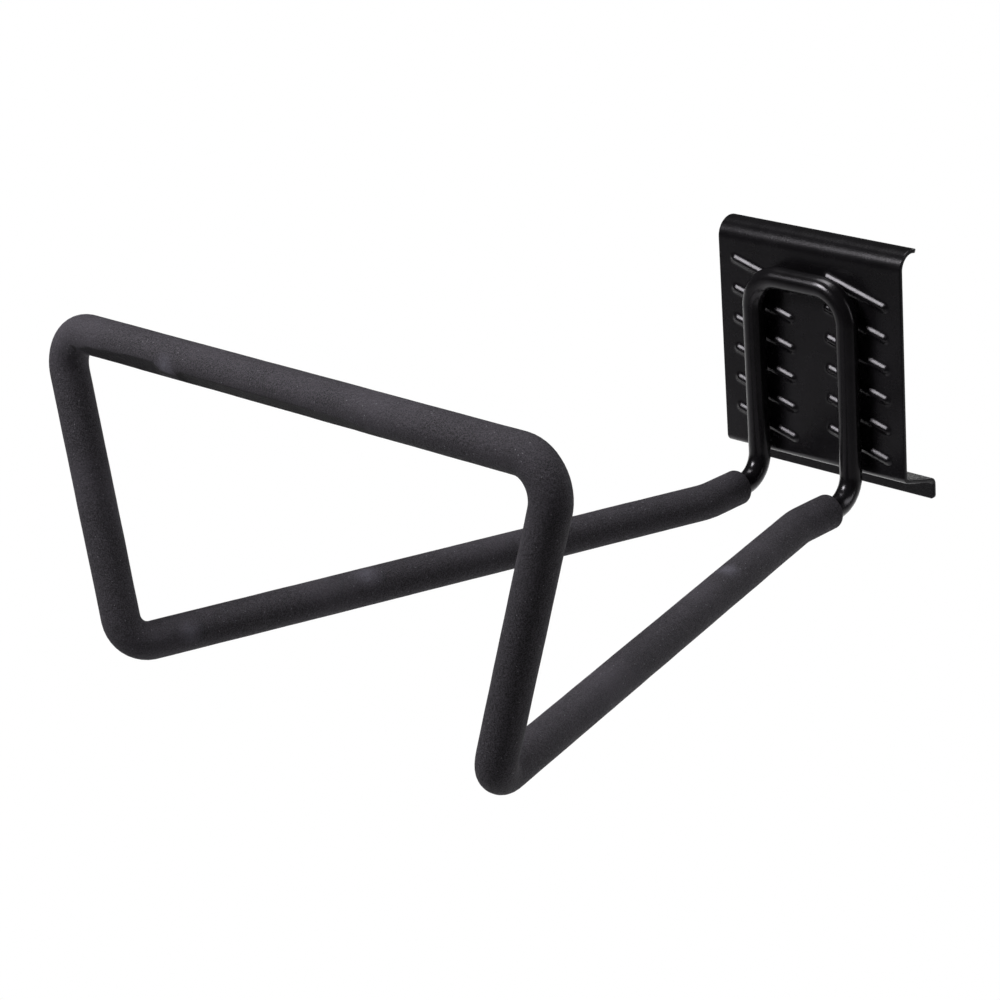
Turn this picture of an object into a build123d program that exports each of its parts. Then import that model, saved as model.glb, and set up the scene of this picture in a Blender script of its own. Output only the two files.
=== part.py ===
from build123d import *
import math
import os

# Wall rack: a bent steel rod, welded on the pressed ribs of a hooked back plate, with a
# foam sleeve over the part of the rod that a bicycle frame leans on. Sizes are in
# millimetres. +X is right as seen facing the rack, +Y points into the wall, +Z is up.
# The origin is the middle of the plate's flat back face, which rests on the wall panel.

# Back plate: sheet with a rolled lip at the top and a joggled flange at the bottom
sheet = 2.0
plate_width = 102.0
lip_top = 55.0
lip_radius = 7.5
lip_turn = 112.0
lip_straight = 1.8
lip_corner = 3.0
joggle_front_z = -49.55
joggle_back_z = -55.2
joggle_radius = 2.5
flange_offset = 20.2
flange_bottom = -64.15
flange_corner = 1.8

# Pressed ribs: long tilted beads, one row of two at every pitch, centred on the legs
rib_rows = 6
rib_pitch = 14.1
rib_top_z = 33.6
rib_length = 37.8
rib_width = 5.2
rib_height = 1.3
rib_crown = 1.1
rib_tilt = 15.5
hollow_length = 35.0
hollow_width = 2.6
hollow_depth = 1.1

# Rod: one length, from the middle of the crossbar round the rack and back
rod = 10.0
leg_x = 26.2
leg_top_z = 35.5
leg_bottom_z = -61.2
splay_y = -46.0
lower_front = (104.2, -316.5, -52.9)
upper_front = (137.9, -304.4, 74.9)
shoulder_bend = 15.0
leg_bend = 12.5
splay_bend = 28.0
lower_bend = 12.0
upper_bend = 14.5
closing_gap = 2.0

# Foam sleeve over the arms, uprights and crossbar
foam = 16.0
foam_clearance = 0.1
foam_start_y = -23.5
foam_end_round = 2.0

# Weld nuggets that join the rod to the rib crests under its straight legs
nugget = 5.0
nugget_reach = 1.5
weld_gap = 0.2
first_welded_row = 1

rib_crest = -sheet - rib_height
leg_y = rib_crest - weld_gap - rod / 2


def mirrored(point):
    """The same point on the other side of the middle plane."""
    return (-point[0], point[1], point[2])


def rib_plane(x, y, z):
    """A plane at y that faces out of the plate's front, turned to the tilt of the ribs."""
    tilt = math.radians(rib_tilt)
    return Plane(origin=(x, y, z), x_dir=(math.cos(tilt), 0, -math.sin(tilt)), z_dir=(0, -1, 0))


def sheet_section():
    """Section of the bent sheet, seen along X: lip, flat, joggle and flange."""
    middle = -sheet / 2
    half_turn = math.radians(lip_turn / 2)
    droop = math.radians(lip_turn - 90)
    tangent = lip_radius * math.tan(half_turn)
    corner_z = lip_top - sheet / 2 - lip_radius + tangent
    run = tangent + lip_straight
    points = [
        (middle + run * math.cos(droop), corner_z - run * math.sin(droop)),
        (middle, corner_z),
        (middle, joggle_front_z),
        (middle + flange_offset, joggle_back_z),
        (middle + flange_offset, flange_bottom),
    ]
    line = FilletPolyline(*points, radius=[lip_radius, joggle_radius, joggle_radius])
    return Plane.YZ * trace(line, line_width=sheet)


def free_corners(body):
    """The square corners of the cut sheet, which are as long as it is thick."""
    return body.edges().filter_by(lambda edge: abs(edge.length - sheet) < 0.001)


def make_rib(x, z):
    """One raised bead, rounded along its crest, rooted in the sheet."""
    root = sheet / 2
    bead = extrude(rib_plane(x, -root, z) * SlotOverall(rib_length, rib_width), root + rib_height)
    crest = bead.faces().sort_by(Axis.Y)[0]
    return fillet(crest.edges(), rib_crown)


def make_hollow(x, z):
    """The groove that pressing the bead leaves in the back of the sheet."""
    return extrude(rib_plane(x, 0, z) * SlotOverall(hollow_length, hollow_width), hollow_depth)


def make_back_plate():
    """Bent sheet with rounded corners and edges, ribs in front and their hollows behind."""
    body = extrude(sheet_section(), plate_width / 2, both=True)
    body = fillet(free_corners(body).filter_by(lambda edge: edge.center().Z > 0), lip_corner)
    body = fillet(free_corners(body).filter_by(lambda edge: edge.center().Z < 0), flange_corner)
    centres = [
        (side * leg_x, rib_top_z - rib_pitch * row)
        for side in (-1, 1)
        for row in range(rib_rows)
    ]
    for x, z in centres:
        body = body + make_rib(x, z) - make_hollow(x, z)
    return body


def bent_line(points, bends):
    """A path of straight runs joined by tangent arcs."""
    return FilletPolyline(*points, radius=bends)


def round_bar(path, diameter):
    """A round bar of one diameter along a path."""
    start = Plane(origin=path @ 0, z_dir=path % 0)
    return sweep(start * Circle(diameter / 2), path=path)


def make_wire_frame():
    """The bent rod, open by the width of the closing weld in the middle of the crossbar."""
    half = [
        (closing_gap / 2, upper_front[1], upper_front[2]),
        upper_front,
        lower_front,
        (leg_x, splay_y, leg_bottom_z),
        (leg_x, leg_y, leg_bottom_z),
        (leg_x, leg_y, leg_top_z),
    ]
    bends = [upper_bend, lower_bend, splay_bend, leg_bend, shoulder_bend]
    points = half + [mirrored(point) for point in reversed(half)]
    return round_bar(bent_line(points, bends + bends[::-1]), rod)


def make_closing_weld():
    """The dressed butt weld that joins the two ends of the rod."""
    place = Pos(0, upper_front[1], upper_front[2]) * Rot(0, 90, 0)
    return place * Cylinder(rod / 2, closing_gap)


def make_foam_sleeve():
    """One closed-cell tube from arm to arm, open at both ends, with softened end rims."""
    half = [
        upper_front,
        lower_front,
        (leg_x, splay_y, leg_bottom_z),
        (leg_x, foam_start_y, leg_bottom_z),
    ]
    bends = [upper_bend, lower_bend, splay_bend]
    points = [mirrored(point) for point in reversed(half)] + half
    path = bent_line(points, bends[::-1] + bends)
    tube = round_bar(path, foam)
    rims = tube.edges().filter_by(GeomType.CIRCLE).filter_by_position(
        Axis.Y, foam_start_y - 0.01, foam_start_y + 0.01
    )
    tube = fillet(rims, foam_end_round)
    return tube - round_bar(path, rod + 2 * foam_clearance)


def make_nugget(x, z, rod_body, plate_body):
    """Weld metal between a rib crest and the back of the rod."""
    blank = Pos(x, rib_crest, z) * Rot(90, 0, 0) * Cylinder(nugget / 2, 2 * nugget_reach)
    return blank - rod_body - plate_body


os.makedirs("parts", exist_ok=True)
plate_body = make_back_plate()
rod_body = make_wire_frame()
export_step(plate_body, "parts/back_plate.step")
export_step(rod_body, "parts/wire_frame.step")
export_step(make_closing_weld(), "parts/closing_weld.step")
export_step(make_foam_sleeve(), "parts/foam_sleeve.step")
for side, name in ((-1, "left"), (1, "right")):
    for row in range(first_welded_row, rib_rows):
        weld = make_nugget(side * leg_x, rib_top_z - rib_pitch * row, rod_body, plate_body)
        export_step(weld, f"parts/rib_weld_{name}_{row}.step")
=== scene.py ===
import math

import bmesh
import bpy
from mathutils import Matrix, Vector


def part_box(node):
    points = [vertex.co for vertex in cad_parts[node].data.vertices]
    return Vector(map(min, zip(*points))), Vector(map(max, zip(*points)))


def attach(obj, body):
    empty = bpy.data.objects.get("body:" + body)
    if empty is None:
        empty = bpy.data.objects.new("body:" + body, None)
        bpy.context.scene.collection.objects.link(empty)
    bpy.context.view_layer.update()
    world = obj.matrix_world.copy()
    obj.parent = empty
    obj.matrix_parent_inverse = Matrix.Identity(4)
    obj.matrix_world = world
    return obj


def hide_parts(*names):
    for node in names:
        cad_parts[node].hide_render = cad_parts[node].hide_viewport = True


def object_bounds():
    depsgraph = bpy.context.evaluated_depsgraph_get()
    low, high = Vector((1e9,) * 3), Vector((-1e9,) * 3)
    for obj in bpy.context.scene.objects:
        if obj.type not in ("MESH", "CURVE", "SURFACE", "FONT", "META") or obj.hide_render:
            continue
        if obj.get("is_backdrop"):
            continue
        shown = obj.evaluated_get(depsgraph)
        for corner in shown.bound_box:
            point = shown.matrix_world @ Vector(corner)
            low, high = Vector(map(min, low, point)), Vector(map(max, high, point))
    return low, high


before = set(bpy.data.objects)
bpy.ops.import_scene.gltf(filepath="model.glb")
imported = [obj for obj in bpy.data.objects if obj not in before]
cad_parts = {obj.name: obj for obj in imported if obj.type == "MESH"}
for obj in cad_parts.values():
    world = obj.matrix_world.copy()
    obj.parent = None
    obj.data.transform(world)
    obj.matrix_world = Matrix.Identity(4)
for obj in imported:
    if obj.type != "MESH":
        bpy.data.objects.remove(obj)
cad_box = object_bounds()


# Back plate.
# A sheet of 2 mm steel, bent on a press: the top edge is rolled back into a lip, the bottom
# is joggled back into a flange, and long tilted ribs are pressed out of its flat front.
# It is powder coated in black after the rod has been welded to it.

SHEET = 0.002
CUT_ROUND = 0.0005
LIP_RADIUS = 0.0075
LIP_TURN = math.radians(112)
LIP_TAIL = 0.0018
LIP_CORNER = 0.003
JOGGLE_RADIUS = 0.0025
JOGGLE_FRONT_Z = -0.04955
JOGGLE_BACK_Z = -0.0552
FLANGE_CORNER = 0.0018
RIB_ROWS = 6
RIB_PITCH = 0.0141
RIB_TOP = 0.0336
RIB_LENGTH = 0.0378
RIB_WIDTH = 0.0056
RIB_HEIGHT = 0.0013
RIB_TILT = math.radians(15.5)
LEG_X = 0.0262
BEND_STEPS = 14
GRID_STEP = 0.00065
EDGE_SHARES = (0.06, 0.2, 0.45, 0.75, 1, 2.2, 4)
SAME_MARK = 1e-6
ROUNDING = 1e-9

plate_low, plate_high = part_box("back_plate")


def filleted(points, bends, arc_steps):
    """The points of a path of straight runs joined by tangent arcs."""
    route = [Vector(points[0])]
    for before, corner, after, bend in zip(points, points[1:], points[2:], bends):
        corner = Vector(corner)
        back = (Vector(before) - corner).normalized()
        on = (Vector(after) - corner).normalized()
        half = back.angle(on) / 2
        centre = corner + (back + on).normalized() * bend / math.sin(half)
        start = (corner + back * bend / math.tan(half) - centre).normalized()
        end = (corner + on * bend / math.tan(half) - centre).normalized()
        for step in range(arc_steps + 1):
            route.append(centre + start.slerp(end, step / arc_steps) * bend)
    route.append(Vector(points[-1]))
    return route


def spaced(route, stretch, ends):
    """Points along a route no further apart than a stretch, with extra ones near both ends."""
    lengths = [0.0]
    for one, two in zip(route, route[1:]):
        lengths.append(lengths[-1] + (two - one).length)
    total = lengths[-1]
    marks = set(lengths)
    for near, far in zip(lengths, lengths[1:]):
        pieces = max(1, math.ceil((far - near) / stretch))
        marks.update(near + (far - near) * piece / pieces for piece in range(pieces))
    marks.update(ends)
    marks.update(total - end for end in ends)
    result = []
    for mark in sorted(marks):
        if result and mark - result[-1][0] < SAME_MARK:
            continue
        index = max(i for i, start in enumerate(lengths[:-1]) if start <= mark + ROUNDING)
        share = (mark - lengths[index]) / (lengths[index + 1] - lengths[index])
        result.append((mark, route[index].lerp(route[index + 1], share)))
    return result, total


def quarter_round(distance, radius):
    """How far a rounded edge has fallen back at a distance in from the edge."""
    short = min(max(radius - distance, 0.0), radius)
    return radius - math.sqrt(radius ** 2 - short ** 2)


def bent_sheet():
    """The closed skin of the bent sheet, before its ribs are pressed."""
    middle = plate_low.y + SHEET / 2 + RIB_HEIGHT
    lip_reach = LIP_RADIUS * math.tan(LIP_TURN / 2)
    droop = LIP_TURN - math.pi / 2
    corner_z = plate_high.z - SHEET / 2 - LIP_RADIUS + lip_reach
    run = lip_reach + LIP_TAIL
    flange_y = plate_high.y - SHEET / 2
    section = [
        (0, middle + run * math.cos(droop), corner_z - run * math.sin(droop)),
        (0, middle, corner_z),
        (0, middle, JOGGLE_FRONT_Z),
        (0, flange_y, JOGGLE_BACK_Z),
        (0, flange_y, plate_low.z),
    ]
    route = filleted(section, [LIP_RADIUS, JOGGLE_RADIUS, JOGGLE_RADIUS], BEND_STEPS)
    edge_marks = [CUT_ROUND * share for share in EDGE_SHARES]
    rows, length = spaced(route, GRID_STEP, edge_marks)
    width = plate_high.x - plate_low.x
    across = [Vector((plate_low.x, 0, 0)), Vector((plate_high.x, 0, 0))]
    columns, _ = spaced(across, GRID_STEP, edge_marks)
    mesh = bmesh.new()
    skins = ([], [])
    for index, (mark, point) in enumerate(rows):
        before = rows[max(index - 1, 0)][1]
        after = rows[min(index + 1, len(rows) - 1)][1]
        along = (after - before).normalized()
        normal = Vector((0, along.z, -along.y))
        inset = quarter_round(mark, LIP_CORNER) + quarter_round(length - mark, FLANGE_CORNER)
        squeeze = 1 - 2 * inset / width
        lines = ([], [])
        for column, place in columns:
            from_edge = min(mark, length - mark, column, width - column)
            half = SHEET / 2 - quarter_round(from_edge, CUT_ROUND)
            centre = Vector((place.x * squeeze, point.y, point.z))
            lines[0].append(mesh.verts.new(centre + normal * half))
            lines[1].append(mesh.verts.new(centre - normal * half))
        skins[0].append(lines[0])
        skins[1].append(lines[1])
    for skin in skins:
        for low, high in zip(skin, skin[1:]):
            for one, two, three, four in zip(low, low[1:], high[1:], high):
                mesh.faces.new((one, two, three, four))
    for first, second in zip(rim(skins[0]), rim(skins[1])):
        mesh.faces.new((first[0], first[1], second[1], second[0]))
    bmesh.ops.recalc_face_normals(mesh, faces=mesh.faces)
    for face in mesh.faces:
        face.smooth = True
    data = bpy.data.meshes.new("back plate sheet")
    mesh.to_mesh(data)
    mesh.free()
    return data


def rim(skin):
    """The pairs of neighbouring points round the border of a grid."""
    loop = list(skin[0])
    loop += [line[-1] for line in skin[1:]]
    loop += list(reversed(skin[-1][:-1]))
    loop += [line[0] for line in reversed(skin[1:-1])]
    return list(zip(loop, loop[1:] + loop[:1]))


def node(tree, kind, settings=None, **links):
    """A node with its settings made and its inputs set or linked by name."""
    made = tree.nodes.new(kind)
    for name, value in (settings or {}).items():
        setattr(made, name, value)
    for name, value in links.items():
        put(tree, made.inputs[name.replace("_", " ")], value)
    return made


def put(tree, socket, value):
    """Links an output to a socket, or sets the socket's own value."""
    if isinstance(value, bpy.types.NodeSocket):
        tree.links.new(value, socket)
    else:
        socket.default_value = value


def reckon(tree, operation, *values):
    """The output of one arithmetic node."""
    made = tree.nodes.new("ShaderNodeMath")
    made.operation = operation
    for socket, value in zip(made.inputs, values):
        put(tree, socket, value)
    return made.outputs[0]


def new_tree(name, inputs):
    """An empty Geometry Nodes tree with named inputs, and its input and output nodes."""
    tree = bpy.data.node_groups.new(name, "GeometryNodeTree")
    tree.interface.new_socket("Geometry", in_out="INPUT", socket_type="NodeSocketGeometry")
    for label, kind in inputs:
        tree.interface.new_socket(label, in_out="INPUT", socket_type=kind)
    tree.interface.new_socket("Geometry", in_out="OUTPUT", socket_type="NodeSocketGeometry")
    return tree, tree.nodes.new("NodeGroupInput"), tree.nodes.new("NodeGroupOutput")


def close_tree(tree, end, geometry, material):
    """Ends a tree in plain geometry that carries its material."""
    real = node(tree, "GeometryNodeRealizeInstances", Geometry=geometry)
    dressed = node(
        tree, "GeometryNodeSetMaterial", Geometry=real.outputs[0], Material=material
    )
    tree.links.new(dressed.outputs[0], end.inputs[0])


def grown(name, mesh, tree, values):
    """A plain mesh object made by running a tree over a mesh."""
    seed = bpy.data.objects.new(name + " seed", mesh)
    bpy.context.collection.objects.link(seed)
    modifier = seed.modifiers.new("grow", "NODES")
    modifier.node_group = tree
    for item in tree.interface.items_tree:
        if item.in_out == "INPUT" and item.name in values:
            modifier[item.identifier] = values[item.name]
    graph = bpy.context.evaluated_depsgraph_get()
    result = bpy.data.meshes.new_from_object(seed.evaluated_get(graph))
    seed.modifiers.remove(modifier)
    bpy.data.objects.remove(seed)
    result.name = name
    result.materials.clear()
    result.materials.append(values["Material"])
    result.polygons.foreach_set("material_index", [0] * len(result.polygons))
    piece = bpy.data.objects.new(name, result)
    bpy.context.collection.objects.link(piece)
    return piece


def pressed_rib_tree():
    """Presses rows of tilted beads out of a flat sheet, two to a row, centred on the legs."""
    tree, start, end = new_tree("pressed ribs", [
        ("Rows", "NodeSocketInt"),
        ("Pitch", "NodeSocketFloat"),
        ("Top", "NodeSocketFloat"),
        ("Leg Offset", "NodeSocketFloat"),
        ("Length", "NodeSocketFloat"),
        ("Width", "NodeSocketFloat"),
        ("Height", "NodeSocketFloat"),
        ("Tilt", "NodeSocketFloat"),
        ("Material", "NodeSocketMaterial"),
    ])
    given = start.outputs
    position = tree.nodes.new("GeometryNodeInputPosition").outputs[0]
    place = node(tree, "ShaderNodeSeparateXYZ", Vector=position)
    side = reckon(tree, "SIGN", place.outputs["X"])
    leg = reckon(tree, "MULTIPLY", side, given["Leg Offset"])
    from_leg = reckon(tree, "SUBTRACT", place.outputs["X"], leg)
    sine = reckon(tree, "SINE", given["Tilt"])
    cosine = reckon(tree, "COSINE", given["Tilt"])
    rise = reckon(tree, "MULTIPLY", from_leg, reckon(tree, "DIVIDE", sine, cosine))
    level = reckon(tree, "ADD", place.outputs["Z"], rise)
    fallen = reckon(tree, "SUBTRACT", given["Top"], level)
    row = reckon(tree, "ROUND", reckon(tree, "DIVIDE", fallen, given["Pitch"]))
    last = reckon(tree, "SUBTRACT", given["Rows"], 1.0)
    row = reckon(tree, "MINIMUM", reckon(tree, "MAXIMUM", row, 0.0), last)
    drop = reckon(tree, "MULTIPLY", row, given["Pitch"])
    row_z = reckon(tree, "SUBTRACT", given["Top"], drop)
    from_row = reckon(tree, "SUBTRACT", place.outputs["Z"], row_z)
    along = reckon(
        tree, "SUBTRACT",
        reckon(tree, "MULTIPLY", from_leg, cosine), reckon(tree, "MULTIPLY", from_row, sine),
    )
    across = reckon(
        tree, "ADD",
        reckon(tree, "MULTIPLY", from_leg, sine), reckon(tree, "MULTIPLY", from_row, cosine),
    )
    half_width = reckon(tree, "MULTIPLY", given["Width"], 0.5)
    half_length = reckon(tree, "MULTIPLY", given["Length"], 0.5)
    half_run = reckon(tree, "SUBTRACT", half_length, half_width)
    past_end = reckon(tree, "SUBTRACT", reckon(tree, "ABSOLUTE", along), half_run)
    beyond = reckon(tree, "MAXIMUM", past_end, 0.0)
    squares = reckon(
        tree, "ADD", reckon(tree, "POWER", beyond, 2.0), reckon(tree, "POWER", across, 2.0)
    )
    distance = reckon(tree, "SQRT", squares)
    slope = reckon(tree, "MINIMUM", reckon(tree, "DIVIDE", distance, half_width), 1.0)
    wave = reckon(tree, "COSINE", reckon(tree, "MULTIPLY", slope, math.pi))
    raised = reckon(tree, "MULTIPLY", reckon(tree, "ADD", wave, 1.0), 0.5)
    outward = reckon(tree, "MULTIPLY", reckon(tree, "MULTIPLY", raised, given["Height"]), -1.0)
    shift = node(tree, "ShaderNodeCombineXYZ", Y=outward)
    pressed = node(
        tree, "GeometryNodeSetPosition", Geometry=given["Geometry"], Offset=shift.outputs[0]
    )
    close_tree(tree, end, pressed.outputs[0], given["Material"])
    return tree


COAT_DARK = (0.0022, 0.0020, 0.0023, 1)
COAT_PALE = (0.0050, 0.0046, 0.0054, 1)
COAT_GLINT = (0.97, 0.93, 1.0, 1)
COAT_DULLING = 0.09
COAT_IOR = 1.5


def ramp(tree, value, low, high, low_colour, high_colour):
    """The colour that a value gives between two marks on a scale."""
    made = tree.nodes.new("ShaderNodeValToRGB")
    first, last = made.color_ramp.elements
    first.position, first.color = low, low_colour
    last.position, last.color = high, high_colour
    put(tree, made.inputs[0], value)
    return made.outputs[0]


def black_powder_coat(name, orange_peel, gloss, shine):
    """Smooth black powder coat: faint orange peel, slight clouding and hairline dulling."""
    coat = bpy.data.materials.new(name)
    coat.use_nodes = True
    tree = coat.node_tree
    shader = tree.nodes["Principled BSDF"]
    place = tree.nodes.new("ShaderNodeTexCoord").outputs["Object"]
    cloud = node(
        tree, "ShaderNodeTexNoise", Vector=place, Scale=38.0, Detail=4.0, Roughness=0.55
    )
    tone = ramp(tree, cloud.outputs["Fac"], 0.3, 0.75, COAT_DARK, COAT_PALE)
    put(tree, shader.inputs["Base Color"], tone)
    dulling = node(
        tree, "ShaderNodeTexNoise", Vector=place, Scale=210.0, Detail=5.0, Roughness=0.6
    )
    rough = node(
        tree, "ShaderNodeMapRange", Value=dulling.outputs["Fac"],
        From_Min=0.3, From_Max=0.8, To_Min=gloss, To_Max=gloss + COAT_DULLING,
    )
    put(tree, shader.inputs["Roughness"], rough.outputs[0])
    peel = node(
        tree, "ShaderNodeTexNoise", Vector=place, Scale=900.0, Detail=2.0, Roughness=0.4
    )
    bump = node(
        tree, "ShaderNodeBump",
        Height=peel.outputs["Fac"], Strength=orange_peel, Distance=0.0003,
    )
    put(tree, shader.inputs["Normal"], bump.outputs[0])
    shader.inputs["Specular IOR Level"].default_value = shine
    shader.inputs["Specular Tint"].default_value = COAT_GLINT
    shader.inputs["IOR"].default_value = COAT_IOR
    return coat


sheet_coat = black_powder_coat("black coat on sheet", orange_peel=0.10, gloss=0.22, shine=0.17)

plate = grown("hooked_back_plate", bent_sheet(), pressed_rib_tree(), {
    "Rows": RIB_ROWS,
    "Pitch": RIB_PITCH,
    "Top": RIB_TOP,
    "Leg Offset": LEG_X,
    "Length": RIB_LENGTH,
    "Width": RIB_WIDTH,
    "Height": RIB_HEIGHT,
    "Tilt": RIB_TILT,
    "Material": sheet_coat,
})
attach(plate, "root")
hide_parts("back_plate")


# Rod.
# One length of 10 mm round steel bar, bent cold round a pin at every corner: up one leg,
# across, down the other, out along both arms and up to the crossbar, where its ends are
# butt welded. It has the same black powder coat as the plate.

ROD_RADIUS = 0.005
LEG_Y = -0.0085
LEG_TOP_Z = 0.0355
ARM_Z = -0.0612
SPLAY_Y = -0.046
LOWER_FRONT = (0.1042, -0.3165, -0.0529)
UPPER_FRONT = (0.1379, -0.3044, 0.0749)
UPPER_BEND = 0.0145
LOWER_BEND = 0.012
SPLAY_BEND = 0.028
LEG_BEND = 0.0125
SHOULDER_BEND = 0.015
CLOSING_GAP = 0.002
CORNER_STEPS = 24


def route_mesh(name, points, bends):
    """A chain of edges through the corners of a bent bar, with each corner's bend radius."""
    data = bpy.data.meshes.new(name)
    data.from_pydata(points, [(i, i + 1) for i in range(len(points) - 1)], [])
    radii = data.attributes.new("bend", "FLOAT", "POINT")
    for item, bend in zip(radii.data, [0.0] + bends + [0.0]):
        item.value = bend
    return data


def flipped(points):
    """The same route on the other side of the rack, walked the other way."""
    return [(-x, y, z) for x, y, z in reversed(points)]


def bent_path(tree, geometry, step):
    """Nodes that turn a chain of corners into evenly spaced points on a bent centre line."""
    line = node(tree, "GeometryNodeMeshToCurve", Mesh=geometry)
    bend = tree.nodes.new("GeometryNodeInputNamedAttribute")
    bend.data_type = "FLOAT"
    bend.inputs["Name"].default_value = "bend"
    round_corners = node(
        tree, "GeometryNodeFilletCurve", Curve=line.outputs[0], Radius=bend.outputs["Attribute"]
    )
    round_corners.mode = "POLY"
    round_corners.inputs["Count"].default_value = CORNER_STEPS
    even = node(tree, "GeometryNodeResampleCurve", Curve=round_corners.outputs[0])
    even.mode = "LENGTH"
    put(tree, even.inputs["Length"], step)
    return even.outputs[0]


def bent_bar_tree():
    """Sweeps a round section along a bent centre line and caps its ends."""
    tree, start, end = new_tree("bent bar", [
        ("Radius", "NodeSocketFloat"),
        ("Step", "NodeSocketFloat"),
        ("Sides", "NodeSocketInt"),
        ("Material", "NodeSocketMaterial"),
    ])
    given = start.outputs
    path = bent_path(tree, given["Geometry"], given["Step"])
    ring = tree.nodes.new("GeometryNodeCurvePrimitiveCircle")
    put(tree, ring.inputs["Resolution"], given["Sides"])
    put(tree, ring.inputs["Radius"], given["Radius"])
    bar = tree.nodes.new("GeometryNodeCurveToMesh")
    put(tree, bar.inputs["Curve"], path)
    put(tree, bar.inputs["Profile Curve"], ring.outputs[0])
    bar.inputs["Fill Caps"].default_value = True
    close_tree(tree, end, bar.outputs[0], given["Material"])
    return tree


rod_half = [
    (CLOSING_GAP / 2, UPPER_FRONT[1], UPPER_FRONT[2]),
    UPPER_FRONT,
    LOWER_FRONT,
    (LEG_X, SPLAY_Y, ARM_Z),
    (LEG_X, LEG_Y, ARM_Z),
    (LEG_X, LEG_Y, LEG_TOP_Z),
]
rod_bends = [UPPER_BEND, LOWER_BEND, SPLAY_BEND, LEG_BEND, SHOULDER_BEND]
rod_route = route_mesh(
    "rod route", rod_half + flipped(rod_half), rod_bends + rod_bends[::-1]
)
rod_coat = black_powder_coat("black coat on rod", orange_peel=0.08, gloss=0.20, shine=0.22)

rod = grown("bent_rod", rod_route, bent_bar_tree(), {
    "Radius": ROD_RADIUS,
    "Step": 0.0015,
    "Sides": 48,
    "Material": rod_coat,
})
rod.data.shade_smooth()
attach(rod, "root")
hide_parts("wire_frame")


# Foam sleeve.
# A tube of closed-cell rubber foam, 16 mm across with a 10 mm bore, pushed on before the
# last bends and cut square in front of the legs. Its skin is matte and finely grained, and
# a flat has been pressed along the underside of the crossbar, with one crease in it. The
# flat's colour is also darkened there as painted shade, and pale patches are painted at
# four spots, the one on the crease being a painted highlight.

FOAM_RADIUS = 0.008
FOAM_BORE = 0.0051
FOAM_START_Y = -0.0235
RIM_ROUND = 0.002
FLAT_SLOPES = (math.radians(28), math.radians(40))
FLAT_TWIST_X = (-0.070, -0.045)
FLAT_SPAN = 0.15
FLAT_UNIT = 0.001
FLAT_LEAST = 0.001
FLAT_REACH = 0.0085
MARK_DEPTH = 0.00006
LUMPS_PER_METRE = 55.0
CENTRE_STEP = 0.001
RIM_GAP = 0.00001
SEAM_GAP = 0.000002
FLAT_DEPTHS = [
    (-0.150, 0.0), (-0.123, 0.0), (-0.112, 0.38), (-0.098, 0.60), (-0.084, 0.90),
    (-0.073, 1.0), (-0.071, 1.0), (-0.0695, 0.10), (-0.0585, 0.06), (-0.0565, 0.85),
    (-0.034, 0.95), (0.028, 0.90), (0.060, 0.0), (0.150, 0.0),
]


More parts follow.
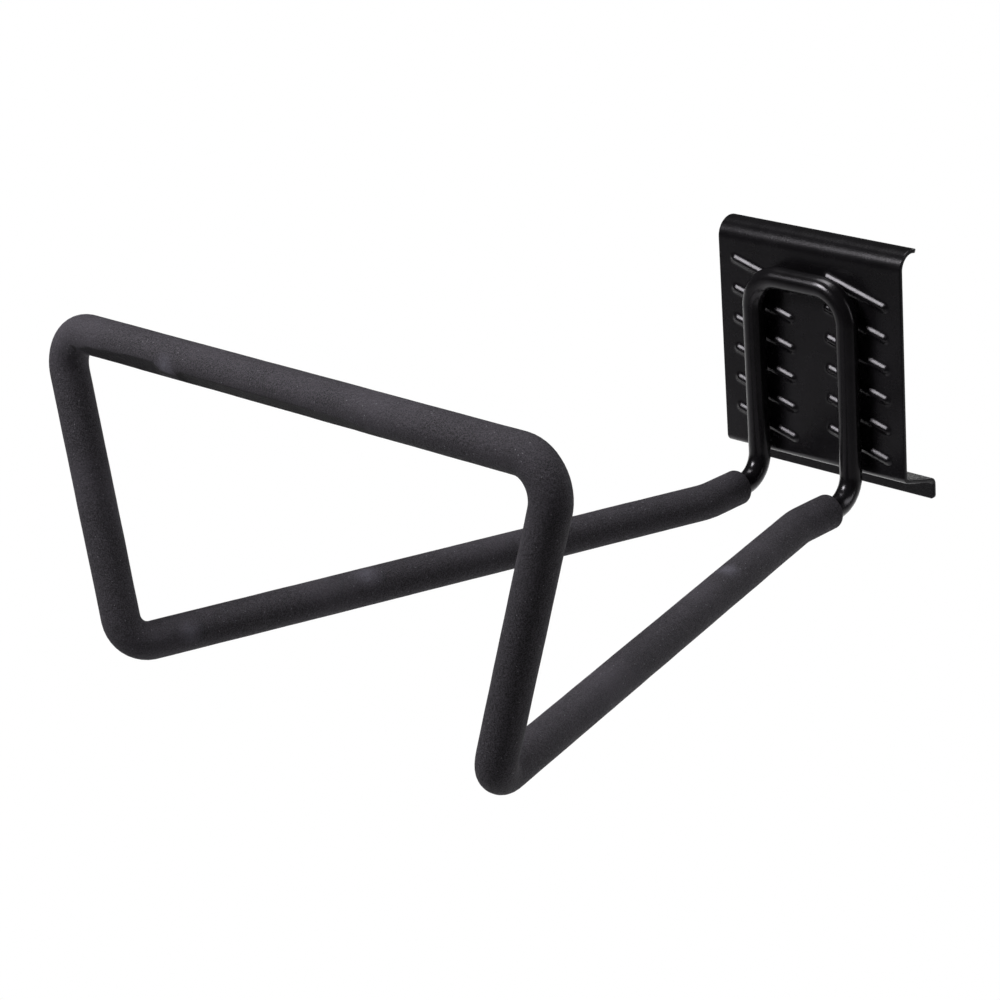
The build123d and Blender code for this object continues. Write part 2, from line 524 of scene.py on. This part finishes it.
def foam_tree():
    """Sweeps the wall along the bent centre line with rounded rims and an open bore."""
    tree, start, end = new_tree("foam sleeve", [
        ("Outer Radius", "NodeSocketFloat"),
        ("Bore Radius", "NodeSocketFloat"),
        ("Rim Round", "NodeSocketFloat"),
        ("Rim Rings", "NodeSocketInt"),
        ("Rings", "NodeSocketInt"),
        ("Sides", "NodeSocketInt"),
        ("Crossbar Y", "NodeSocketFloat"),
        ("Crossbar Z", "NodeSocketFloat"),
        ("Left Slope", "NodeSocketFloat"),
        ("Right Slope", "NodeSocketFloat"),
        ("Flat Span", "NodeSocketFloat"),
        ("Unevenness", "NodeSocketFloat"),
        ("Material", "NodeSocketMaterial"),
    ])
    given = start.outputs
    path = bent_path(tree, given["Geometry"], CENTRE_STEP)
    whole = tree.nodes.new("GeometryNodeCurveLength")
    put(tree, whole.inputs[0], path)
    rings = tree.nodes.new("GeometryNodeResampleCurve")
    rings.mode = "COUNT"
    put(tree, rings.inputs["Curve"], path)
    put(tree, rings.inputs["Count"], given["Rings"])
    ring_number = tree.nodes.new("GeometryNodeInputIndex").outputs[0]
    last_ring = reckon(tree, "SUBTRACT", given["Rings"], 1.0)
    far_side = reckon(tree, "SUBTRACT", last_ring, ring_number)
    from_end = reckon(tree, "MINIMUM", ring_number, far_side)

    rim_steps = reckon(tree, "SUBTRACT", given["Rim Rings"], 1.0)
    turn = reckon(tree, "DIVIDE", reckon(tree, "SUBTRACT", from_end, 1.0), rim_steps)
    turn = reckon(tree, "MINIMUM", reckon(tree, "MAXIMUM", turn, 0.0), 1.0)
    turn = reckon(tree, "MULTIPLY", turn, math.pi / 2)
    rim_run = reckon(tree, "SUBTRACT", 1.0, reckon(tree, "COSINE", turn))
    rim_run = reckon(tree, "MULTIPLY", given["Rim Round"], rim_run)
    half_whole = reckon(tree, "MULTIPLY", whole.outputs[0], 0.5)
    half_run = reckon(tree, "SUBTRACT", half_whole, given["Rim Round"])
    half_count = reckon(tree, "MULTIPLY", last_ring, 0.5)
    half_rings = reckon(tree, "SUBTRACT", half_count, given["Rim Rings"])
    past_rim = reckon(tree, "SUBTRACT", from_end, given["Rim Rings"])
    plain_ring = reckon(tree, "MAXIMUM", past_rim, 0.0)
    ring_step = reckon(tree, "DIVIDE", half_run, half_rings)
    plain_run = reckon(tree, "MULTIPLY", plain_ring, ring_step)
    is_wall = reckon(tree, "GREATER_THAN", from_end, 0.5)
    run = reckon(tree, "ADD", rim_run, plain_run)
    run = reckon(tree, "ADD", run, reckon(tree, "MULTIPLY", is_wall, RIM_GAP))
    on_far_side = reckon(tree, "GREATER_THAN", ring_number, far_side)
    far_run = reckon(tree, "SUBTRACT", whole.outputs[0], run)
    length = choose(tree, on_far_side, far_run, run)

    fell = reckon(tree, "SUBTRACT", 1.0, reckon(tree, "SINE", turn))
    fell = reckon(tree, "MULTIPLY", given["Rim Round"], fell)
    wall = reckon(tree, "SUBTRACT", given["Outer Radius"], fell)
    radius = choose(tree, is_wall, wall, given["Bore Radius"])

    spot = tree.nodes.new("GeometryNodeSampleCurve")
    spot.mode = "LENGTH"
    put(tree, spot.inputs["Curves"], path)
    put(tree, spot.inputs["Length"], length)
    moved = node(
        tree, "GeometryNodeSetPosition",
        Geometry=rings.outputs[0], Position=spot.outputs["Position"],
    )
    circle = tree.nodes.new("GeometryNodeCurvePrimitiveCircle")
    put(tree, circle.inputs["Resolution"], given["Sides"])
    circle.inputs["Radius"].default_value = 1.0
    skin = node(
        tree, "GeometryNodeCurveToMesh",
        Curve=moved.outputs[0], Profile_Curve=circle.outputs[0], Scale=radius,
    )
    bore = node(
        tree, "GeometryNodeCurveToMesh",
        Curve=moved.outputs[0], Profile_Curve=circle.outputs[0], Scale=given["Bore Radius"],
    )
    inside_out = tree.nodes.new("GeometryNodeFlipFaces")
    put(tree, inside_out.inputs[0], bore.outputs[0])
    handled = pressed_skin(tree, given, skin.outputs[0])
    joined = tree.nodes.new("GeometryNodeJoinGeometry")
    tree.links.new(handled, joined.inputs[0])
    tree.links.new(inside_out.outputs[0], joined.inputs[0])
    sealed = tree.nodes.new("GeometryNodeMergeByDistance")
    put(tree, sealed.inputs["Geometry"], joined.outputs[0])
    sealed.inputs["Distance"].default_value = SEAM_GAP
    close_tree(tree, end, sealed.outputs[0], given["Material"])
    return tree


def choose(tree, test, yes, no):
    """The output of a switch between two numbers."""
    made = tree.nodes.new("GeometryNodeSwitch")
    made.input_type = "FLOAT"
    put(tree, made.inputs["Switch"], test)
    put(tree, made.inputs["True"], yes)
    put(tree, made.inputs["False"], no)
    return made.outputs[0]


def pressed_skin(tree, given, skin):
    """Nodes that press the creased flat under the crossbar and make the skin a little uneven."""
    place = tree.nodes.new("GeometryNodeInputPosition").outputs[0]
    spot = node(tree, "ShaderNodeSeparateXYZ", Vector=place)
    twist = node(
        tree, "ShaderNodeMapRange", Value=spot.outputs["X"],
        From_Min=FLAT_TWIST_X[0], From_Max=FLAT_TWIST_X[1],
        To_Min=given["Left Slope"], To_Max=given["Right Slope"],
    )
    front = reckon(tree, "MULTIPLY", reckon(tree, "COSINE", twist.outputs[0]), -1.0)
    under = reckon(tree, "MULTIPLY", reckon(tree, "SINE", twist.outputs[0]), -1.0)
    ahead = reckon(tree, "SUBTRACT", spot.outputs["Y"], given["Crossbar Y"])
    above = reckon(tree, "SUBTRACT", spot.outputs["Z"], given["Crossbar Z"])
    out = reckon(
        tree, "ADD",
        reckon(tree, "MULTIPLY", ahead, front), reckon(tree, "MULTIPLY", above, under),
    )
    share = node(
        tree, "ShaderNodeMapRange", Value=spot.outputs["X"],
        From_Min=reckon(tree, "MULTIPLY", given["Flat Span"], -1.0),
        From_Max=given["Flat Span"],
    )
    depth = tree.nodes.new("ShaderNodeFloatCurve")
    put(tree, depth.inputs["Value"], share.outputs[0])
    line = depth.mapping.curves[0]
    while len(line.points) < len(FLAT_DEPTHS):
        line.points.new(0.5, 0.5)
    for point, (x, pressed) in zip(line.points, FLAT_DEPTHS):
        point.location = ((x + FLAT_SPAN) / (2 * FLAT_SPAN), pressed)
        point.handle_type = "AUTO_CLAMPED"
    depth.mapping.update()
    limit = reckon(
        tree, "SUBTRACT", given["Outer Radius"],
        reckon(tree, "MULTIPLY", depth.outputs[0], FLAT_UNIT),
    )
    over = reckon(tree, "MAXIMUM", reckon(tree, "SUBTRACT", out, limit), 0.0)
    on_bar = reckon(tree, "LESS_THAN", reckon(tree, "ABSOLUTE", above), FLAT_REACH)
    over = reckon(tree, "MULTIPLY", over, on_bar)
    is_flat = reckon(tree, "GREATER_THAN", depth.outputs[0], FLAT_LEAST)
    over = reckon(tree, "MULTIPLY", over, is_flat)
    push = node(
        tree, "ShaderNodeCombineXYZ",
        Y=reckon(tree, "MULTIPLY", reckon(tree, "MULTIPLY", over, front), -1.0),
        Z=reckon(tree, "MULTIPLY", reckon(tree, "MULTIPLY", over, under), -1.0),
    )
    # The pressed mark stored here is read by the foam material to paint shade on the flat.
    pressed = reckon(tree, "MINIMUM", reckon(tree, "DIVIDE", over, MARK_DEPTH), 1.0)
    marked = node(
        tree, "GeometryNodeStoreNamedAttribute", {"data_type": "FLOAT", "domain": "POINT"},
        Geometry=skin, Name="pressed", Value=pressed,
    )
    flat = node(
        tree, "GeometryNodeSetPosition", Geometry=marked.outputs[0], Offset=push.outputs[0]
    )
    lumps = node(tree, "ShaderNodeTexNoise", Vector=place, Scale=LUMPS_PER_METRE, Detail=3.0)
    lump = reckon(tree, "SUBTRACT", lumps.outputs["Fac"], 0.5)
    lump = reckon(tree, "MULTIPLY", lump, given["Unevenness"])
    facing = tree.nodes.new("GeometryNodeInputNormal").outputs[0]
    swell = node(
        tree, "ShaderNodeVectorMath", {"operation": "SCALE"}, Vector=facing, Scale=lump
    )
    uneven = node(
        tree, "GeometryNodeSetPosition", Geometry=flat.outputs[0], Offset=swell.outputs[0]
    )
    edge = tree.nodes.new("GeometryNodeInputMeshEdgeNeighbors").outputs[0]
    rim_edge = node(tree, "FunctionNodeCompare", {"data_type": "INT", "operation": "EQUAL"})
    put(tree, rim_edge.inputs[2], edge)
    rim_edge.inputs[3].default_value = 1
    inner = node(tree, "FunctionNodeBooleanMath", {"operation": "NOT"})
    put(tree, inner.inputs[0], rim_edge.outputs[0])
    put(tree, uneven.inputs["Selection"], inner.outputs[0])
    return uneven.outputs[0]


foam_half = [
    UPPER_FRONT,
    LOWER_FRONT,
    (LEG_X, SPLAY_Y, ARM_Z),
    (LEG_X, FOAM_START_Y, ARM_Z),
]
foam_bends = [UPPER_BEND, LOWER_BEND, SPLAY_BEND]
foam_route = route_mesh(
    "foam route", flipped(foam_half) + foam_half, foam_bends[::-1] + foam_bends
)

FOAM_DARK = (0.0094, 0.0086, 0.0101, 1)
FOAM_PALE = (0.0366, 0.0336, 0.0394, 1)
FOAM_WORN = (0.043, 0.039, 0.047, 1)
FOAM_SPECK = (0.20, 0.195, 0.215, 1)
# Painted highlight and pale patches: the colour of four pale spots, the one on the crease
# standing in for a highlight.
FOAM_PALE_PATCH_AND_HIGHLIGHT = (0.105, 0.100, 0.125, 1)
# Painted shade: the colour that darkens the pressed flat under the crossbar.
FOAM_FLAT_SHADE = (0.0060, 0.0056, 0.0064, 1)
SPECK_RARITY = 0.72
SPECK_STRENGTH = 0.42
# How far the painted shade darkens the pressed flat.
FLAT_SHADE_STRENGTH = 0.75
FOAM_SHINE = 0.10
# Spots painted paler; the first, on the crease of the flat, is a painted highlight.
PALE_PATCHES_AND_HIGHLIGHT = [
    ((-0.0640, -0.3119, 0.0740), 0.0075),
    ((-0.0702, -0.2129, -0.0480), 0.0090),
    ((0.0480, -0.1183, -0.0500), 0.0080),
    ((-0.0900, -0.2943, -0.0509), 0.0070),
]
PALE_PATCH_AND_HIGHLIGHT_STRENGTH = 0.6


def tinted(tree, amount, colour, tint):
    """The output of a mix of a colour and so much of a tint."""
    made = node(tree, "ShaderNodeMix", {"data_type": "RGBA"})
    put(tree, made.inputs["Factor"], amount)
    put(tree, made.inputs[6], colour)
    put(tree, made.inputs[7], tint)
    return made.outputs[2]


def closed_cell_foam(name):
    """Matte dark foam skin: fine grain, pale pinpricks, pale patches at listed spots, one of
    them a painted highlight on the crease, and painted shade on the pressed flat.
    """
    foam = bpy.data.materials.new(name)
    foam.use_nodes = True
    tree = foam.node_tree
    shader = tree.nodes["Principled BSDF"]
    place = tree.nodes.new("ShaderNodeTexCoord").outputs["Object"]

    grain = node(
        tree, "ShaderNodeTexNoise", Vector=place, Scale=2100.0, Detail=2.0, Roughness=0.6
    )
    tone = ramp(tree, grain.outputs["Fac"], 0.39, 0.61, FOAM_DARK, FOAM_PALE)
    wear = node(
        tree, "ShaderNodeTexNoise", Vector=place, Scale=24.0, Detail=3.0, Roughness=0.5
    )
    worn = node(
        tree, "ShaderNodeMapRange", Value=wear.outputs["Fac"],
        From_Min=0.50, From_Max=0.75, To_Min=0.0, To_Max=0.45,
    )
    tone = tinted(tree, worn.outputs[0], tone, FOAM_WORN)

    cells = node(tree, "ShaderNodeTexVoronoi", Vector=place, Scale=560.0)
    speck = node(
        tree, "ShaderNodeMapRange", Value=cells.outputs["Distance"],
        From_Min=0.07, From_Max=0.16, To_Min=1.0, To_Max=0.0,
    )
    lot = node(tree, "ShaderNodeSeparateColor", Color=cells.outputs["Color"])
    chosen = reckon(tree, "GREATER_THAN", lot.outputs[0], SPECK_RARITY)
    dust = reckon(tree, "MULTIPLY", speck.outputs[0], chosen)
    dust = reckon(tree, "MULTIPLY", dust, SPECK_STRENGTH)
    tone = tinted(tree, dust, tone, FOAM_SPECK)

    # Paler patches at the listed spots, broken up by noise; the one on the crease is a painted
    # highlight.
    pale_spots = 0.0
    for centre, reach in PALE_PATCHES_AND_HIGHLIGHT:
        away = node(tree, "ShaderNodeVectorMath", {"operation": "DISTANCE"}, Vector=place)
        away.inputs[1].default_value = centre
        fade = node(
            tree, "ShaderNodeMapRange", {"interpolation_type": "SMOOTHSTEP"},
            Value=away.outputs["Value"], From_Min=0.0, From_Max=reach, To_Min=1.0, To_Max=0.0,
        )
        pale_spots = reckon(tree, "ADD", pale_spots, fade.outputs[0])
    smear = node(
        tree, "ShaderNodeTexNoise", Vector=place, Scale=420.0, Detail=4.0, Roughness=0.7
    )
    pale_spots = reckon(tree, "MULTIPLY", pale_spots, smear.outputs["Fac"])
    pale_spots = reckon(tree, "MULTIPLY", pale_spots, PALE_PATCH_AND_HIGHLIGHT_STRENGTH)
    tone = tinted(tree, pale_spots, tone, FOAM_PALE_PATCH_AND_HIGHLIGHT)

    # Painted shade: the foam's colour is darkened where the flat is pressed, for the shade on
    # its downward face.
    flattened = tree.nodes.new("ShaderNodeAttribute")
    flattened.attribute_name = "pressed"
    flat_shade = reckon(tree, "MULTIPLY", flattened.outputs["Fac"], FLAT_SHADE_STRENGTH)
    tone = tinted(tree, flat_shade, tone, FOAM_FLAT_SHADE)
    put(tree, shader.inputs["Base Color"], tone)

    rough = node(
        tree, "ShaderNodeMapRange", Value=grain.outputs["Fac"],
        From_Min=0.3, From_Max=0.7, To_Min=0.70, To_Max=0.88,
    )
    put(tree, shader.inputs["Roughness"], rough.outputs[0])
    pores = node(
        tree, "ShaderNodeTexNoise", Vector=place, Scale=900.0, Detail=4.0, Roughness=0.6
    )
    bump = node(
        tree, "ShaderNodeBump", Height=pores.outputs["Fac"], Strength=0.8, Distance=0.0006
    )
    put(tree, shader.inputs["Normal"], bump.outputs[0])
    shader.inputs["Specular IOR Level"].default_value = FOAM_SHINE
    return foam


foam_skin = closed_cell_foam("foam skin")
sleeve = grown("foam_tube", foam_route, foam_tree(), {
    "Outer Radius": FOAM_RADIUS,
    "Bore Radius": FOAM_BORE,
    "Rim Round": RIM_ROUND,
    "Rim Rings": 8,
    "Rings": 641,
    "Sides": 72,
    "Crossbar Y": UPPER_FRONT[1],
    "Crossbar Z": UPPER_FRONT[2],
    "Left Slope": FLAT_SLOPES[0],
    "Right Slope": FLAT_SLOPES[1],
    "Flat Span": FLAT_SPAN,
    "Unevenness": 0.0003,
    "Material": foam_skin,
})
sleeve.data.shade_smooth()
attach(sleeve, "root")
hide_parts("foam_sleeve")


# Welds.
# Small nuggets of steel that join the rod to the crests of the ribs, and the butt weld that
# closes the rod inside the foam. They are left as welded and coated with everything else.

weld_coat = black_powder_coat("black coat on welds", orange_peel=0.2, gloss=0.30, shine=0.20)
for label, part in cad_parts.items():
    if label.startswith("rib_weld") or label == "closing_weld":
        part.data.materials.clear()
        part.data.materials.append(weld_coat)


# Floor, lights and camera.
# A plain pale floor well below the rack, washed from high behind it, and four soft lights on
# the rack: one in front at the left, one overhead, and a weaker one behind and at the right.

FLOOR_DROP = 0.30
FLOOR_SIZE = 16.0
FLOOR_DARK = (0.79, 0.79, 0.79, 1)
FLOOR_PALE = (0.81, 0.81, 0.81, 1)
WHITE = (1, 1, 1, 1)


def show(tree, lighting, looked_at, end):
    """Gives the stage one shader for the light it gives the rack, and one to be looked at."""
    looking = tree.nodes.new("ShaderNodeLightPath").outputs["Is Camera Ray"]
    seen = node(tree, "ShaderNodeMixShader", Fac=looking)
    tree.links.new(lighting.outputs[0], seen.inputs[1])
    tree.links.new(looked_at.outputs[0], seen.inputs[2])
    tree.links.new(seen.outputs[0], end.inputs["Surface"])


def pale_floor(name):
    """A matte, faintly mottled pale floor, which is an even white where it is looked at."""
    finish = bpy.data.materials.new(name)
    finish.use_nodes = True
    tree = finish.node_tree
    shader = tree.nodes["Principled BSDF"]
    place = tree.nodes.new("ShaderNodeTexCoord").outputs["Object"]
    mottle = node(tree, "ShaderNodeTexNoise", Vector=place, Scale=6.0, Detail=2.0)
    tone = ramp(tree, mottle.outputs["Fac"], 0.0, 1.0, FLOOR_DARK, FLOOR_PALE)
    put(tree, shader.inputs["Base Color"], tone)
    shader.inputs["Roughness"].default_value = 0.9
    shader.inputs["Specular IOR Level"].default_value = 0.1
    even = node(tree, "ShaderNodeEmission", Color=WHITE, Strength=1.0)
    show(tree, shader, even, tree.nodes["Material Output"])
    return finish


floor_z = cad_box[0].z - FLOOR_DROP
floor_mesh = bpy.data.meshes.new("floor")
reach = FLOOR_SIZE / 2
floor_corners = [(-reach, -reach), (reach, -reach), (reach, reach), (-reach, reach)]
floor_mesh.from_pydata([(x, y, floor_z) for x, y in floor_corners], [], [(0, 1, 2, 3)])
floor_mesh.materials.append(pale_floor("pale floor"))
floor = bpy.data.objects.new("floor", floor_mesh)
bpy.context.collection.objects.link(floor)
floor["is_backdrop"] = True

box_low, box_high = (Vector(corner) for corner in cad_box)
middle = (box_low + box_high) / 2


def soft_light(name, place, aim, size, power, spread):
    """A rectangular soft light that faces a point, both measured from the middle of the rack."""
    data = bpy.data.lights.new(name, "AREA")
    data.shape = "RECTANGLE"
    data.size, data.size_y = size
    data.energy = power
    data.spread = math.radians(spread)
    light = bpy.data.objects.new(name, data)
    bpy.context.collection.objects.link(light)
    light.location = middle + Vector(place)
    light.rotation_mode = "QUATERNION"
    turn = Vector(aim) - Vector(place)
    light.rotation_quaternion = turn.to_track_quat("-Z", "Y")


for name, place, aim, size, power, spread in (
    ("back wash", (-1.25, 1.1, 3.0), (-1.25, 1.1, -0.4), (2.4, 2.4), 47, 70.0),
    ("front key", (-0.55, -0.95, 0.92), (-0.06, -0.08, 0.0), (0.52, 0.5), 2.65, 44.0),
    ("top light", (0.12, -0.30, 1.30), (0.12, -0.30, 0.0), (0.35, 0.35), 0.45, 32.0),
    ("rear fill", (0.45, 1.3, 0.5), (0.0, 0.0, 0.0), (0.6, 0.6), 0.9, 60.0),
    ("right fill", (1.3, 0.7, 0.45), (0.0, 0.0, 0.0), (0.5, 1.2), 2.5, 90.0),
):
    soft_light(name, place, aim, size, power, spread)

SURROUND_STRENGTH = 0.05

world = bpy.data.worlds.new("studio")
world.use_nodes = True
surround = world.node_tree
dim = surround.nodes["Background"]
dim.inputs["Color"].default_value = WHITE
dim.inputs["Strength"].default_value = SURROUND_STRENGTH
white = node(surround, "ShaderNodeBackground", Color=WHITE, Strength=1.0)
show(surround, dim, white, surround.nodes["World Output"])
bpy.context.scene.world = world
bpy.context.scene.view_settings.view_transform = "Standard"

AZIMUTH = math.radians(45.745)
ELEVATION = math.radians(21.35)
ROLL = math.radians(-4.26)
DISTANCE = 1.3219
AIM_RIGHT = -0.0330
AIM_UP = -0.0247
LENS = 115.5
SENSOR = 36

back = Vector((
    math.sin(AZIMUTH) * math.cos(ELEVATION),
    -math.cos(AZIMUTH) * math.cos(ELEVATION),
    math.sin(ELEVATION),
))
level = Vector((0, 0, 1)).cross(back).normalized()
plumb = back.cross(level)
right = level * math.cos(ROLL) + plumb * math.sin(ROLL)
up = plumb * math.cos(ROLL) - level * math.sin(ROLL)
lens = bpy.data.cameras.new("camera")
lens.lens = LENS
lens.sensor_width = SENSOR
camera = bpy.data.objects.new("camera", lens)
bpy.context.collection.objects.link(camera)
eye = middle + back * DISTANCE + right * AIM_RIGHT + up * AIM_UP
turned = Matrix((right, up, back)).transposed().to_4x4()
camera.matrix_world = Matrix.Translation(eye) @ turned
bpy.context.scene.camera = camera

size = {
    "cad": [list(corner) for corner in cad_box],
    "visual": [list(corner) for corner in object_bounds()],
}
